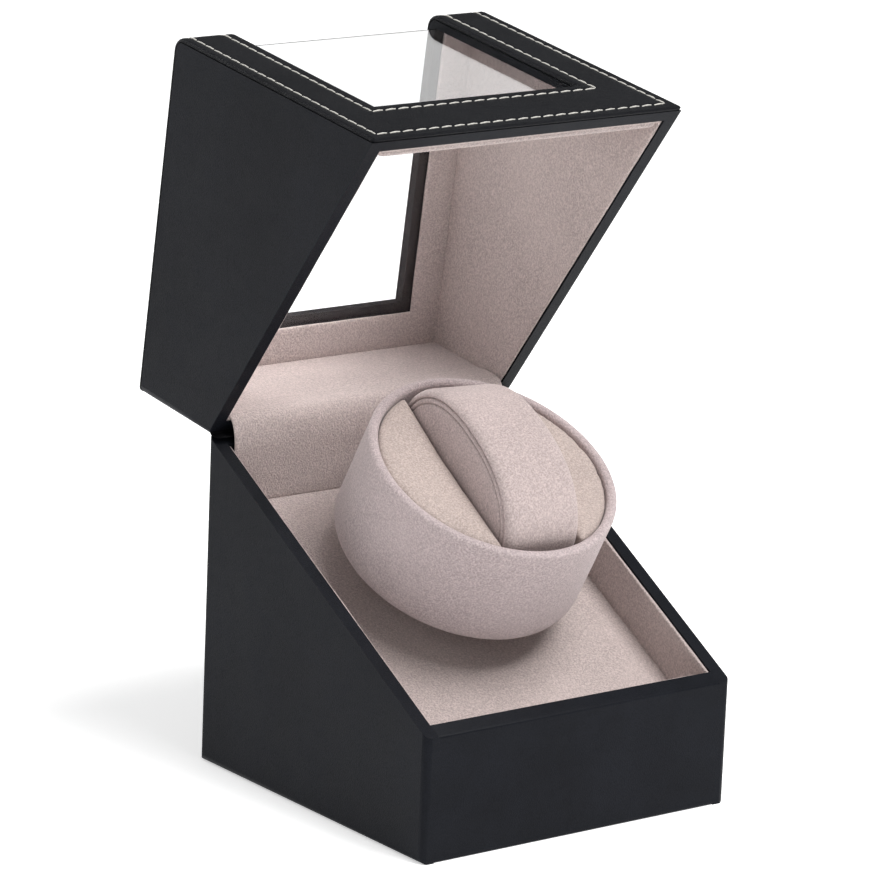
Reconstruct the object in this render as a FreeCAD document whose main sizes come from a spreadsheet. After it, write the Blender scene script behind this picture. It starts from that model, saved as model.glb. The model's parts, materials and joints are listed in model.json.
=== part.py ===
import FreeCAD, Part
import math
import os
import re
import Sketcher

os.makedirs("parts", exist_ok=True)
doc = FreeCAD.newDocument("watch_winder_box")

# Driving dimensions in millimetres and degrees. World frame: X across, Y to the back, Z up,
# origin at the centre of the underside. The lid is drawn closed and placed open.
SIZES = {
    "width": 125.0,
    "depth": 125.0,
    "height": 155.0,
    "front_h": 42.0,
    "back_h": 112.5,
    "wall": 4.8,
    "pile": 1.0,
    "edge_r": 2.4,
    "rim_r": 0.9,
    "part_gap": 0.35,
    "lid_open": 82.5,
    "floor_lo": 1.0,
    "floor_hi": 5.0,
    "trim": 1.6,
    "sheet": 1.0,
    "corner_r": 5.0,
    "win_half": 41.2,
    "win_back": 40.6,
    "win_low": 71.9,
    "win_lap": 4.0,
    "lid_wall": 3.8,
    "pane_deep": 4.4,
    "pane_bend": 1.05,
    "reveal": 3.6,
    "deck_drop": 17.1,
    "deck_board": 4.0,
    "foot_y": 14.5,
    "rail": 6.0,
    "cup_r": 43.2,
    "cup_back": 11.0,
    "cup_rim": 52.7,
    "cup_skin": 0.9,
    "cup_wall": 1.3,
    "cup_floor": 2.0,
    "cup_round": 7.0,
    "band_deep": 10.0,
    "band_skin": 0.8,
    "slot_half": 15.0,
    "cushion_top": 50.4,
    "cushion_r": 39.9,
    "cushion_edge": 3.0,
    "pillow_turn": -4.0,
    "pillow_half": 14.6,
    "pillow_end": 1.1,
    "pillow_long": 34.6,
    "pillow_base": 45.6,
    "pillow_rise": 22.2,
    "pillow_low": 14.1,
    "shaft_r": 3.0,
    "run_gap": 0.05,
    "bush_r": 5.0,
    "hub_r": 10.0,
    "box_top": -7.0,
    "box_low": -23.5,
    "box_wall": 2.0,
    "wheel_teeth": 48,
    "pinion_teeth": 16,
    "module_out": 0.8,
    "module_in": 0.6,
    "idler_x": 25.65,
    "motor_y": -19.25,
    "motor_r": 12.0,
    "motor_long": 24.0,
    "hinge_x": 34.0,
    "hinge_half": 10.0,
    "barrel_r": 1.5,
    "pin_r": 0.7,
    "leaf": 0.8,
    "leaf_long": 9.0,
    "plate_x": 24.0,
    "plate_z": 28.0,
}

# The parting plane climbs from the front rim to the back rim; the deck lies parallel to it.
SLOPE = (SIZES["back_h"] - SIZES["front_h"]) / SIZES["depth"]
SIZES["slope"] = round(SLOPE, 6)
SIZES["tilt"] = round(math.degrees(math.atan(SLOPE)), 5)
FALL = SIZES["deck_drop"] / math.cos(math.atan(SLOPE))
SIZES["foot_z"] = round(
    SIZES["front_h"] + SLOPE * (SIZES["foot_y"] + SIZES["depth"] / 2) - FALL, 4)

sheet = doc.addObject("Spreadsheet::Sheet", "dims")
for row, (alias, value) in enumerate(SIZES.items(), start=1):
    sheet.set(f"A{row}", alias)
    sheet.set(f"B{row}", str(value))
    sheet.setAlias(f"B{row}", alias)
doc.recompute()

WORD = re.compile(r"[a-z]+(?:_[a-z]+)*")
X_AXIS = FreeCAD.Vector(1, 0, 0)
Y_AXIS = FreeCAD.Vector(0, 1, 0)
Z_AXIS = FreeCAD.Vector(0, 0, 1)
SUBPARTS = []


def formula(text):
    """Expression text with every driving dimension read from the sheet."""
    return WORD.sub(lambda m: f"dims.{m[0]}" if m[0] in SIZES else m[0], str(text))


def value(text):
    """The number that a dimension formula gives."""
    total = sheet.evalExpression(formula(text))
    return float(getattr(total, "Value", total))


def bind(obj, prop, text):
    obj.setExpression(prop, formula(text))


def locate(obj, x, y, z):
    for letter, text in zip("xyz", (x, y, z)):
        bind(obj, f"Placement.Base.{letter}", text)


def box(x0, x1, y0, y1, z0, z1):
    """Box between two corners, each given as a dimension formula."""
    obj = doc.addObject("Part::Box", "block")
    locate(obj, x0, y0, z0)
    for prop, low, high in (("Length", x0, x1), ("Width", y0, y1), ("Height", z0, z1)):
        bind(obj, prop, f"({high}) - ({low})")
    return obj


def rod(x, y, z, radius, length, axis=Z_AXIS):
    """Cylinder from a start point along an axis."""
    obj = doc.addObject("Part::Cylinder", "rod")
    obj.Placement.Rotation = FreeCAD.Rotation(Z_AXIS, axis)
    locate(obj, x, y, z)
    bind(obj, "Radius", radius)
    bind(obj, "Height", length)
    return obj


def fuse(*shapes):
    obj = doc.addObject("Part::MultiFuse", "joined")
    obj.Shapes = list(shapes)
    obj.Refine = True
    return obj


def cut(base, *tools):
    """Base with the tools taken away."""
    obj = doc.addObject("Part::Cut", "cut")
    obj.Base = base
    obj.Tool = tools[0] if len(tools) == 1 else fuse(*tools)
    obj.Refine = True
    return obj


def common(first, second):
    obj = doc.addObject("Part::Common", "overlap")
    obj.Base = first
    obj.Tool = second
    obj.Refine = True
    return obj


def rounded(source, radius, picks):
    """Source with the edges that picks accepts rounded to a radius."""
    doc.recompute()
    size = value(radius)
    obj = doc.addObject("Part::Fillet", "rounded")
    obj.Base = source
    obj.Edges = [(i, size, size) for i, edge in enumerate(source.Shape.Edges, start=1) if picks(edge)]
    return obj


def near(number, target):
    return abs(number - target) < 1e-3


def runs(axis, *tests):
    """Edge test: straight along an axis, and centred where every (letter, formula) says."""
    levels = [(letter, value(text)) for letter, text in tests]

    def picks(edge):
        ends = edge.Vertexes
        if len(ends) < 2 or edge.Curve.TypeId != "Part::GeomLine":
            return False
        along = (ends[1].Point - ends[0].Point).normalize()
        centre = edge.CenterOfMass
        return abs(along.dot(axis)) > 0.999 and all(near(getattr(centre, n), v) for n, v in levels)

    return picks


def either(*picks):
    return lambda edge: any(pick(edge) for pick in picks)


def ring_at(level):
    """Edge test: a full circle at a height."""
    height = value(level)
    return lambda edge: edge.Curve.TypeId == "Part::GeomCircle" and near(edge.CenterOfMass.z, height)


def prism(plane, corners, start, thickness):
    """Body padded from a polygon whose corners are pairs of dimension formulas."""
    body = doc.addObject("PartDesign::Body", "body")
    sketch = body.newObject("Sketcher::SketchObject", "outline")
    origin = [f for f in body.Origin.OriginFeatures if f.Role == plane][0]
    sketch.AttachmentSupport = (origin, [""])
    sketch.MapMode = "FlatFace"
    bind(sketch, "AttachmentOffset.Base.z", start)
    spots = [FreeCAD.Vector(value(u), value(v), 0) for u, v in corners]
    count = len(spots)
    for i in range(count):
        sketch.addGeometry(Part.LineSegment(spots[i], spots[(i + 1) % count]))
    for i in range(count):
        sketch.addConstraint(Sketcher.Constraint("Coincident", i, 2, (i + 1) % count, 1))
    for i, (u, v) in enumerate(corners):
        for kind, text, number in (("DistanceX", u, spots[i].x), ("DistanceY", v, spots[i].y)):
            index = sketch.addConstraint(Sketcher.Constraint(kind, -1, 1, i, 1, number))
            bind(sketch, f"Constraints[{index}]", text)
    pad = body.newObject("PartDesign::Pad", "pad")
    pad.Profile = sketch
    bind(pad, "Length", thickness)
    body.Tip = pad
    return body


def soften(body, radius, picks):
    """Round the edges of a body's last feature that picks accepts."""
    doc.recompute()
    tip = body.Tip
    names = [f"Edge{i}" for i, edge in enumerate(tip.Shape.Edges, start=1) if picks(edge)]
    fillet = body.newObject("PartDesign::Fillet", "soft_edges")
    fillet.Base = (tip, names)
    bind(fillet, "Radius", radius)
    body.Tip = fillet
    return body


def in_world(obj):
    return obj


def as_one(obj):
    """Wrap a piece so that it keeps its own offset when the wrapper is placed."""
    group = doc.addObject("Part::Compound", "placed")
    group.Links = [obj]
    return group


def in_deck(obj):
    """Place a piece drawn about the drum's axis, with its zero height on the deck."""
    obj.Placement.Rotation = FreeCAD.Rotation(X_AXIS, 1)
    bind(obj, "Placement.Rotation.Angle", "tilt")
    locate(obj, "0", "foot_y", "foot_z")
    return obj


def in_lid(obj):
    """Swing a piece of the closed lid open about the hinge axis."""
    obj.Placement.Rotation = FreeCAD.Rotation(X_AXIS, -1)
    turn = "lid_open * 1 deg"
    locate(
        obj,
        "0",
        f"depth / 2 * (1 - cos({turn})) - back_h * sin({turn})",
        f"back_h * (1 - cos({turn})) + depth / 2 * sin({turn})",
    )
    bind(obj, "Placement.Rotation.Angle", "-lid_open")
    return obj


def in_drum(obj):
    """Turn a piece about the drum's axis by the drum's rest angle, then place it on the deck."""
    obj.Placement.Rotation = FreeCAD.Rotation(Z_AXIS, -1)
    bind(obj, "Placement.Rotation.Angle", "pillow_turn")
    return in_deck(as_one(obj))


def deck_tool(obj):
    """Tool drawn about the drum's axis, for pieces that are drawn in the world frame."""
    return in_deck(as_one(obj))


def subpart(name, obj, frame=in_world):
    placed = obj if frame is in_world else frame(as_one(obj))
    placed.Label = name
    SUBPARTS.append(placed)
    return placed


def solid(shape, name="shape"):
    obj = doc.addObject("Part::Feature", name)
    obj.Shape = shape
    return obj


BOX_SCREWS = (("-20", "-30"), ("-20", "18"), ("40", "-30"), ("40", "18"))
INNER = "(width / 2 - wall)"
LINED = "(width / 2 - wall - pile)"
Y_IN = "(depth / 2 - wall)"
Y_LINED = "(depth / 2 - wall - pile)"
FRONT_IN = "(trim + lid_wall - depth / 2)"
TOP_IN = "(height - trim - lid_wall)"


def rim(y, lift="0"):
    """Height of the parting plane at a depth y."""
    return f"(front_h + slope * (({y}) + depth / 2) + ({lift}))"


def deck(y, lift="0"):
    """Height of the deck plane at a depth y."""
    return f"(foot_z + slope * (({y}) - foot_y) + ({lift}))"


def below_deck(amount):
    return f"-({amount}) / cos(tilt * 1 deg)"


def base_walls():
    for name, start in (("base_left_panel", "-width / 2"), ("base_right_panel", INNER)):
        corners = [
            ("-depth / 2", "0"),
            ("depth / 2", "0"),
            ("depth / 2", "back_h"),
            ("-depth / 2", "front_h"),
        ]
        panel = prism("YZ_Plane", corners, start, "wall")
        side = "-width / 2" if "left" in name else "width / 2"
        upright = either(runs(Z_AXIS, ("x", side)), runs(Y_AXIS, ("x", side), ("z", "0")))
        subpart(name, soften(panel, "edge_r", upright))
    front = prism(
        "YZ_Plane",
        [
            ("-depth / 2", "0"),
            (f"-{Y_IN}", "0"),
            (f"-{Y_IN}", rim(f"-{Y_IN}")),
            ("-depth / 2", "front_h"),
        ],
        f"-{INNER}", f"2 * {INNER}",
    )
    front = soften(front, "rim_r", either(
        runs(X_AXIS, ("y", "-depth / 2"), ("z", "front_h")),
        runs(X_AXIS, ("y", "-depth / 2"), ("z", "0")),
    ))
    subpart("base_front_panel", front)
    back = prism(
        "YZ_Plane",
        [
            (Y_IN, "0"),
            ("depth / 2", "0"),
            ("depth / 2", "back_h"),
            (Y_IN, rim(Y_IN)),
        ],
        f"-{INNER}", f"2 * {INNER}",
    )
    tools = [hinge_pocket(side, "base") for side in (-1, 1)]
    tools += [hinge_screw_set(side, "base") for side in (-1, 1)]
    tools += [plate_screws(), box("plate_x - 15", "plate_x + 15", f"{Y_IN} - 1", "depth / 2 + 1",
                                  "plate_z - 8.5", "plate_z + 8.5")]
    subpart("base_back_panel", cut(back, *tools))
    subpart("base_floor_panel",
            box(f"-{INNER}", INNER, f"-{Y_IN}", Y_IN, "floor_lo", "floor_hi"))
    subpart("underside_felt",
            box(f"-{INNER}", INNER, f"-{Y_IN}", Y_IN, "0", "floor_lo"))


def hinge_pocket(side, body):
    """Seat for a hinge: a round groove on the hinge axis and a shallow bed for the leaf."""
    x0 = f"{side} * hinge_x - hinge_half - 0.1"
    x1 = f"{side} * hinge_x + hinge_half + 0.1"
    groove = rod(x0, "depth / 2", "back_h", "barrel_r + 0.3", "2 * hinge_half + 0.2", X_AXIS)
    if body == "base":
        bed = box(x0, x1, "depth / 2 - leaf", "depth / 2 + 1", "back_h - leaf_long", "back_h + 1")
    else:
        bed = box(x0, x1, "depth / 2 - leaf", "depth / 2 + 1", "back_h - 1", "back_h + leaf_long")
    return fuse(groove, bed)


def base_linings():
    low = below_deck("pile + deck_board")
    for name, start in (("base_left_lining", f"-{INNER}"), ("base_right_lining", LINED)):
        corners = [
            (f"-{Y_IN}", deck(f"-{Y_IN}", low)),
            (Y_IN, deck(Y_IN, low)),
            (Y_IN, rim(Y_IN, "-0.8")),
            (f"-{Y_IN}", rim(f"-{Y_IN}", "-0.8")),
        ]
        subpart(name, prism("YZ_Plane", corners, start, "pile"))
    for name, far, near_y in (
        ("base_front_lining", f"-{Y_IN}", f"-{Y_LINED}"),
        ("base_back_lining", Y_LINED, Y_IN),
    ):
        corners = [
            (far, deck(far, low)),
            (near_y, deck(near_y, low)),
            (near_y, rim(near_y, "-0.8")),
            (far, rim(far, "-0.8")),
        ]
        subpart(name, prism("YZ_Plane", corners, f"-{LINED}", f"2 * {LINED}"))


def deck_parts():
    for name, high, low in (
        ("deck_velvet", "0", below_deck("pile")),
        ("deck_board", below_deck("pile"), below_deck("pile + deck_board")),
    ):
        corners = [
            (f"-{Y_LINED}", deck(f"-{Y_LINED}", low)),
            (Y_LINED, deck(Y_LINED, low)),
            (Y_LINED, deck(Y_LINED, high)),
            (f"-{Y_LINED}", deck(f"-{Y_LINED}", high)),
        ]
        layer = prism("YZ_Plane", corners, f"-{LINED}", f"2 * {LINED}")
        tools = [deck_tool(rod("0", "0", "-20", "bush_r", "40"))]
        if name == "deck_board":
            tools += [deck_tool(rod(x, y, "-6", "1.2", "4")) for x, y in BOX_SCREWS]
        subpart(name, cut(layer, *tools))
    top = below_deck("pile + deck_board")
    low = below_deck("pile + deck_board + rail")
    corners = [
        ("-50", deck("-50", low)),
        ("50", deck("50", low)),
        ("50", deck("50", top)),
        ("-50", deck("-50", top)),
    ]
    rails = [prism("YZ_Plane", corners, x0, "rail") for x0 in (f"-{INNER}", f"{INNER} - rail")]
    subpart("deck_rails", fuse(*rails))



def lid_block(inset, half, radius, back="depth / 2"):
    """Solid block of the closed lid's outline, its front top corner rounded."""
    block = box(f"-{half}", half, f"{inset} - depth / 2", back, "20", f"height - {inset}")
    return rounded(block, radius, runs(X_AXIS, ("y", f"{inset} - depth / 2"), ("z", f"height - {inset}")))


def below_rim():
    """Everything under the lid's face of the parting plane."""
    corners = [
        ("-80", "0"),
        ("80", "0"),
        ("80", rim("80", "part_gap")),
        ("-80", rim("-80", "part_gap")),
    ]
    return prism("YZ_Plane", corners, "-80", "160")


def window_space(margin):
    """The window opening, through the front and top faces, widened by a margin."""
    half = f"(win_half + {margin})"
    return box(f"-{half}", half, "-100", f"win_back + {margin}", f"win_low - {margin}", "200")


def pane_seat():
    """Rebate in the inner side of the front and top panels, all round the window opening."""
    block = lid_block("pane_deep", "(width / 2)", "pane_bend", "depth / 2 + 1")
    return common(block, window_space("win_lap"))


def pane_shape():
    """Bent clear sheet that fills the rebate, flush with the panels' inner faces."""
    core = lid_block("(pane_deep + sheet)", "(width / 2)", "pane_bend - sheet", "depth / 2 + 1")
    return cut(pane_seat(), core)


def lid_shell():
    face = "(trim - depth / 2)"
    side_half = "(width / 2)"
    outer = lid_block("0", side_half, "corner_r")
    under = lid_block("trim", "(width / 2 + 1)", "corner_r - trim", "depth / 2 + 1")
    trim = cut(outer, under, window_space("0"), below_rim())
    reach = value("width / 2")

    def outer_side(edge):
        centre = edge.CenterOfMass
        if not near(abs(centre.x), reach):
            return False
        if edge.Curve.TypeId == "Part::GeomCircle":
            return near(edge.Curve.Radius, value("corner_r"))
        ends = edge.Vertexes
        return all(near(v.Y, -value("depth") / 2) for v in ends) or all(
            near(v.Z, value("height")) for v in ends)

    subpart("window_trim", rounded(trim, "1.2", outer_side), in_lid)

    subpart("lid_window", pane_shape(), in_lid)

    body = lid_block("trim", INNER, "corner_r - trim")
    over = box(f"-{INNER} - 1", f"{INNER} + 1", "-100", "100", TOP_IN, "200")
    top = cut(common(body, over), window_space("0"), pane_seat())
    subpart("lid_top_panel", top, in_lid)
    front_zone = box(f"-{INNER} - 1", f"{INNER} + 1", "-100", FRONT_IN, "0", TOP_IN)
    front = cut(common(body, front_zone), window_space("0"), pane_seat(), below_rim())
    subpart("lid_front_panel", front, in_lid)

    for name, start in (("lid_left_panel", "-width / 2"), ("lid_right_panel", INNER)):
        corners = [
            (face, rim(face, "part_gap")),
            ("depth / 2", rim("depth / 2", "part_gap")),
            ("depth / 2", "height - trim"),
            (face, "height - trim"),
        ]
        panel = prism("YZ_Plane", corners, start, "wall")
        side = "-width / 2" if "left" in name else "width / 2"
        panel = soften(panel, "edge_r", runs(Z_AXIS, ("x", side), ("y", "depth / 2")))
        panel = soften(panel, "corner_r - trim", runs(X_AXIS, ("y", face), ("z", "height - trim")))
        subpart(name, panel, in_lid)
    back = prism(
        "YZ_Plane",
        [
            (Y_IN, rim(Y_IN, "part_gap")),
            ("depth / 2", rim("depth / 2", "part_gap")),
            ("depth / 2", TOP_IN),
            (Y_IN, TOP_IN),
        ],
        f"-{INNER}", f"2 * {INNER}",
    )
    seats = [hinge_pocket(side, "lid") for side in (-1, 1)]
    screws = [hinge_screw_set(side, "lid") for side in (-1, 1)]
    subpart("lid_back_panel", cut(back, *seats, *screws), in_lid)


def lid_linings():
    low = "part_gap + 0.8"
    for name, start in (("lid_left_lining", f"-{INNER}"), ("lid_right_lining", LINED)):
        corners = [
            (FRONT_IN, rim(FRONT_IN, low)),
            (Y_IN, rim(Y_IN, low)),
            (Y_IN, TOP_IN),
            (FRONT_IN, TOP_IN),
        ]
        subpart(name, prism("YZ_Plane", corners, start, "pile"), in_lid)
    across = (f"-{LINED}", f"2 * {LINED}")
    back = [
        (Y_LINED, rim(Y_LINED, low)),
        (Y_IN, rim(Y_IN, low)),
        (Y_IN, TOP_IN),
        (Y_LINED, TOP_IN),
    ]
    subpart("lid_back_lining", prism("YZ_Plane", back, *across), in_lid)
    front = [
        (FRONT_IN, rim(FRONT_IN, low)),
        (f"{FRONT_IN} + pile", rim(f"{FRONT_IN} + pile", low)),
        (f"{FRONT_IN} + pile", TOP_IN),
        (FRONT_IN, TOP_IN),
    ]
    strip = cut(prism("YZ_Plane", front, *across), window_space("reveal"))
    subpart("lid_front_lining", strip, in_lid)
    ceiling = box(f"-{LINED}", LINED, f"{FRONT_IN} + pile", Y_LINED, f"{TOP_IN} - pile", TOP_IN)
    subpart("lid_top_lining", cut(ceiling, window_space("reveal")), in_lid)


def hinge_screw_set(side, body):
    """Two small pan-head screws through a leaf into the panel behind it."""
    level = "back_h - 6" if body == "base" else "back_h + 6"
    pieces = []
    for step in (-6, 6):
        x = f"{side} * hinge_x + {step}"
        pieces.append(rod(x, "depth / 2", level, "1.4", "0.5", Y_AXIS))
        pieces.append(rod(x, "depth / 2 - 3.6", level, "0.7", "3.6", Y_AXIS))
    return fuse(*pieces)


def hinge_leaf(side, body):
    """Leaf plate with its knuckles, bored for the pin."""
    x0 = f"{side} * hinge_x - hinge_half"
    x1 = f"{side} * hinge_x + hinge_half"
    y0 = "depth / 2 - leaf"
    clear = "(barrel_r + 0.35)"
    if body == "base":
        plate = box(x0, x1, y0, "depth / 2", "back_h - leaf_long", f"back_h - {clear}")
        spans = [(x0, f"{x0} + 6"), (f"{x1} - 6", x1)]
        web_z = (f"back_h - {clear}", "back_h")
        bore = "pin_r"
    else:
        plate = box(x0, x1, y0, "depth / 2", f"back_h + {clear}", "back_h + leaf_long")
        spans = [(f"{x0} + 6.2", f"{x1} - 6.2")]
        web_z = ("back_h", f"back_h + {clear}")
        bore = "pin_r + run_gap"
    pieces = [plate]
    for low, high in spans:
        pieces.append(box(low, high, y0, "depth / 2", *web_z))
        pieces.append(rod(low, "depth / 2", "back_h", "barrel_r", f"({high}) - ({low})", X_AXIS))
    hole = rod(f"{x0} - 1", "depth / 2", "back_h", bore, "2 * hinge_half + 2", X_AXIS)
    return cut(fuse(*pieces), hole, hinge_screw_set(side, body))


def hinges():
    subpart("hinge_leaves_base", fuse(*[hinge_leaf(side, "base") for side in (-1, 1)]))
    subpart("hinge_leaves_lid", fuse(*[hinge_leaf(side, "lid") for side in (-1, 1)]), in_lid)
    pins = [
        rod(f"{side} * hinge_x - hinge_half", "depth / 2", "back_h", "pin_r", "2 * hinge_half", X_AXIS)
        for side in (-1, 1)
    ]
    subpart("hinge_pins", fuse(*pins))
    subpart("hinge_screws_base", fuse(*[hinge_screw_set(side, "base") for side in (-1, 1)]))
    subpart("hinge_screws_lid", fuse(*[hinge_screw_set(side, "lid") for side in (-1, 1)]), in_lid)
    up_face = [(-5.8, -11.5), (-5.8, -2.3), (-5.4, 1.0), (-4.3, 4.1), (-3.5, 5.4), (-2.3, 6.15)]
    over_face = [(-0.5, 6.3), (7.5, 6.95), (7.5, 7.75), (-0.5, 7.1), (-2.6, 6.95)]
    down_face = [(-4.1, 6.1), (-5.1, 4.6), (-6.2, 1.3), (-6.6, -2.2), (-6.6, -11.5)]
    corners = [(f"depth / 2 + {y}", f"back_h + {z}") for y, z in up_face + over_face + down_face]
    half = f"({LINED} - 0.4)"
    subpart("hinge_lining", prism("YZ_Plane", corners, f"-{half}", f"2 * {half}"))


def gear_face(teeth, module, phase):
    """Involute gear outline with a little backlash, one tooth centred at the phase angle."""
    pressure = math.radians(25)
    pitch = teeth * module / 2
    base = pitch * math.cos(pressure)
    tip = pitch + 0.8 * module
    root = pitch - 1.05 * module
    thick = math.pi / (2 * teeth) - 0.045 / pitch + math.tan(pressure) - pressure

    def half_angle(radius):
        lean = math.acos(min(1.0, base / radius))
        return thick - (math.tan(lean) - lean)

    start = max(base, root)
    radii = [root] + [start + (tip - start) * k / 4 for k in range(5)]
    points = []
    for tooth in range(teeth):
        middle = phase + 2 * math.pi * tooth / teeth
        flank = [(r, -half_angle(r)) for r in radii] + [(r, half_angle(r)) for r in reversed(radii)]
        for radius, turn in flank:
            angle = middle + turn
            points.append(FreeCAD.Vector(radius * math.cos(angle), radius * math.sin(angle), 0))
    points.append(points[0])
    return Part.Face(Part.makePolygon(points))


def gear(teeth, module, phase, low, high):
    face = gear_face(int(value(teeth)), value(module), phase)
    face.translate(FreeCAD.Vector(0, 0, low))
    return face.extrude(FreeCAD.Vector(0, 0, high - low))


def collar(radius, low, high):
    return Part.makeCylinder(radius, high - low, FreeCAD.Vector(0, 0, low))


def gear_train():
    """Spur gears under the deck: motor pinion, compound idler, wheel on the output shaft."""
    half_pitch = math.pi / value("pinion_teeth")
    wheel = gear("wheel_teeth", "module_out", 0, -14, -9)
    wheel = wheel.fuse(collar(6, -9, -7.3)).cut(collar(value("shaft_r"), -15, -7))
    subpart("drum_gear", solid(wheel, "wheel"), in_deck)
    idler = gear("wheel_teeth", "module_in", -math.pi / 2, -19.1, -15.2)
    idler = idler.fuse(gear("pinion_teeth", "module_out", math.pi + half_pitch, -15.2, -8.6))
    idler = idler.fuse(collar(3.2, -21.3, -19.1)).fuse(collar(3.2, -8.6, -7.2))
    idler = idler.cut(collar(1.5 + value("run_gap"), -22, -7))
    placed = solid(idler, "idler")
    locate(placed, "idler_x", "0", "0")
    subpart("idler_gear", placed, in_deck)
    pinion = gear("pinion_teeth", "module_in", math.pi / 2 + half_pitch, -19.4, -14.8)
    placed = solid(pinion.cut(collar(1.5, -20, -14)), "pinion")
    locate(placed, "idler_x", "motor_y", "0")
    subpart("motor_pinion", placed, in_deck)


def gearbox():
    screw_shanks = [rod(x, y, "box_low", "1.2", "-box_low - 2", Z_AXIS) for x, y in BOX_SCREWS]
    screw_heads = [rod(x, y, "box_low - 1.6", "2.6", "1.6") for x, y in BOX_SCREWS]
    holes = [rod(x, y, "box_low - 1", "1.2", "30") for x, y in BOX_SCREWS]
    plate = box("-24", "46", "-36", "24", "box_top", "-5")
    bush_hole = rod("0", "0", "box_top - 1", "bush_r", "4")
    pin_hole = rod("idler_x", "0", "box_low - 1", "1.5", "30")
    subpart("gearbox_plate", cut(plate, bush_hole, pin_hole, *holes), in_deck)
    shell = box("-24", "46", "-36", "24", "box_low", "box_top")
    shell = rounded(shell, "3", runs(Z_AXIS))
    hollow = box("-24 + box_wall", "46 - box_wall", "-36 + box_wall", "24 - box_wall",
                 "box_low + box_wall", "box_top + 1")
    posts = [rod(x, y, "box_low + 1", "3.2", "box_top - box_low - 1") for x, y in BOX_SCREWS]
    boss = rod("0", "0", "box_low + 1", "5.5", "7.1")
    tray = fuse(cut(shell, hollow), boss, *posts)
    shaft_hole = rod("0", "0", "box_low + 2.5", "shaft_r + run_gap", "10")
    motor_hole = rod("idler_x", "motor_y", "box_low - 1", "3", "4")
    tray = cut(tray, shaft_hole, motor_hole, rod("idler_x", "0", "box_low - 1", "1.5", "4"), *holes)
    subpart("gearbox_tray", tray, in_deck)
    subpart("gearbox_screws", fuse(*screw_heads, *screw_shanks), in_deck)
    subpart("idler_pin", rod("idler_x", "0", "box_low", "1.5", "-box_low - 5"), in_deck)
    can = rod("idler_x", "motor_y", "box_low - motor_long", "motor_r", "motor_long")
    can = rounded(can, "1.2", ring_at("box_low - motor_long"))
    tags = [box(f"idler_x + {x} - 1.2", f"idler_x + {x} + 1.2", "motor_y - 0.4", "motor_y + 0.4",
                "box_low - motor_long - 3", "box_low - motor_long") for x in (-6, 6)]
    can = cut(fuse(can, *tags), rod("idler_x", "motor_y", "box_low - 3.5", "1.5 + run_gap", "4.5"))
    subpart("motor_can", can, in_deck)
    spindle = rod("idler_x", "motor_y", "box_low - 3", "1.5", "12.2")
    subpart("motor_shaft", spindle, in_deck)
    bush = fuse(rod("0", "0", "box_top", "bush_r", "-box_top"), rod("0", "0", "0", "8.5", "1.5"))
    subpart("shaft_bush", cut(bush, rod("0", "0", "-10", "shaft_r + run_gap", "20")), in_deck)
    subpart("output_shaft", rod("0", "0", "-20.6", "shaft_r", "30"), in_deck)


def hub_screws():
    pieces = []
    for k in range(3):
        angle = f"{90 + 120 * k} * 1 deg"
        x, y = f"11.2 * cos({angle})", f"11.2 * sin({angle})"
        pieces.append(rod(x, y, "cup_back - 3.9", "2.2", "1.4"))
        pieces.append(rod(x, y, "cup_back - 2.5", "1.1", "4.6"))
    return fuse(*pieces)


def drum():
    """Round cup on the hub: wall tube, dished floor, velvet skin over the lip, two cushions."""
    floor = "(cup_back + cup_skin + cup_floor)"
    lip = "(cup_rim - cup_skin)"
    boss = rod("0", "0", "2.2", "hub_r - 2", "cup_back - 2.2")
    flange = rod("0", "0", "cup_back - 2.5", "hub_r + 4.5", "2.5")
    hub = cut(fuse(boss, flange), rod("0", "0", "0", "shaft_r", "9.4"), hub_screws())
    subpart("drum_hub", hub, in_deck)
    subpart("drum_hub_screws", hub_screws(), in_deck)

    def cup_body(inset, lip_r):
        block = rod("0", "0", f"cup_back + {inset}", f"cup_r - {inset}",
                    f"cup_rim - cup_back - 2 * {inset}")
        low = rounded(block, f"cup_round - {inset}", ring_at(f"cup_back + {inset}"))
        return rounded(low, lip_r, ring_at(f"cup_rim - {inset}"))

    shell_in = "(cup_r - cup_skin - cup_wall)"
    corner = "cup_round - cup_skin - cup_floor"
    bowl = rounded(rod("0", "0", floor, shell_in, "60"), corner, ring_at(floor))
    shell = cut(cup_body("cup_skin", "0.5"), bowl)
    dish = rod("0", "0", "cup_back", "cup_r", "cup_round")
    subpart("drum_cup", cut(shell, dish), in_deck)
    subpart("drum_floor", cut(common(shell, dish), hub_screws()), in_deck)
    throat = f"({shell_in} - band_skin)"
    ring = cut(
        rod("0", "0", f"{lip} - band_deep", shell_in, "band_deep"),
        rod("0", "0", f"{lip} - band_deep - 1", throat, "band_deep + 2"),
    )
    solid_cup = cut(cup_body("cup_skin", "0.5"), ring)
    mouth = rod("0", "0", f"{lip} - 1", throat, "20")
    skin = cut(cup_body("0", "1.4"), solid_cup, mouth, hub_screws())
    skin = rounded(skin, "0.8", lambda edge: ring_at("cup_rim")(edge) and near(
        edge.Curve.Radius, value(throat)))
    subpart("drum_cover", skin, in_deck)
    for side, name in ((-1, "left"), (1, "right")):
        low, high = ("slot_half", "cup_r") if side > 0 else ("-cup_r", "-slot_half")
        moon = common(
            rod("0", "0", floor, "cushion_r", f"cushion_top - {floor}"),
            box(low, high, "-50", "50", "0", "60"),
        )
        top = value("cushion_top")
        moon = rounded(moon, "cushion_edge", lambda edge: near(edge.CenterOfMass.z, top))
        moon = rounded(moon, "4.6", lambda edge: near(
            edge.CenterOfMass.z, value(floor)) and "Circle" in edge.Curve.TypeId)
        subpart(f"drum_cushion_{name}", moon, in_drum)


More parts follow.
